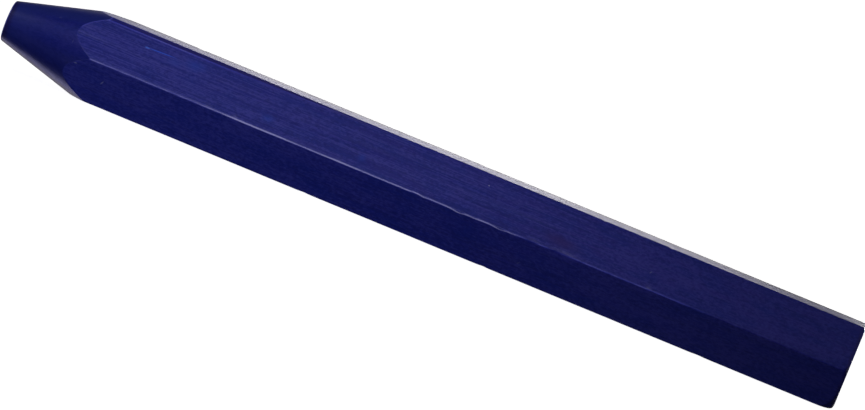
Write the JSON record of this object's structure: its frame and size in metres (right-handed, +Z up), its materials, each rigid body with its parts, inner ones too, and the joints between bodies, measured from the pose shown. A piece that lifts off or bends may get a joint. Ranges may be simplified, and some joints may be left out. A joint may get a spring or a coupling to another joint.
{
  "type": "marking crayon",
  "caption": "Bare hexagonal marking crayon in deep blue: a solid wax stick under a thin glaze, with a blunt turned cone, slightly off centre, at one end and a square-cut butt.",
  "frame": {"origin": "on the surface that the crayon lies on, halfway along its length, below its axis", "axes": "+X along the stick from the nose to the butt, +Y across two arrises, +Z up out of the flat that it lies on"},
  "size_m": [0.12, 0.0136, 0.0118],
  "materials": {
    "glaze": "satin lacquer over wax, deep blue, finely streaked along the stick",
    "core": "bare pressed wax and clay with deep blue pigment, matt, slightly smeared"
  },
  "bodies": {
    "root": {"marking_core": "core", "glaze_film": "glaze"}
  },
  "joints": []
}
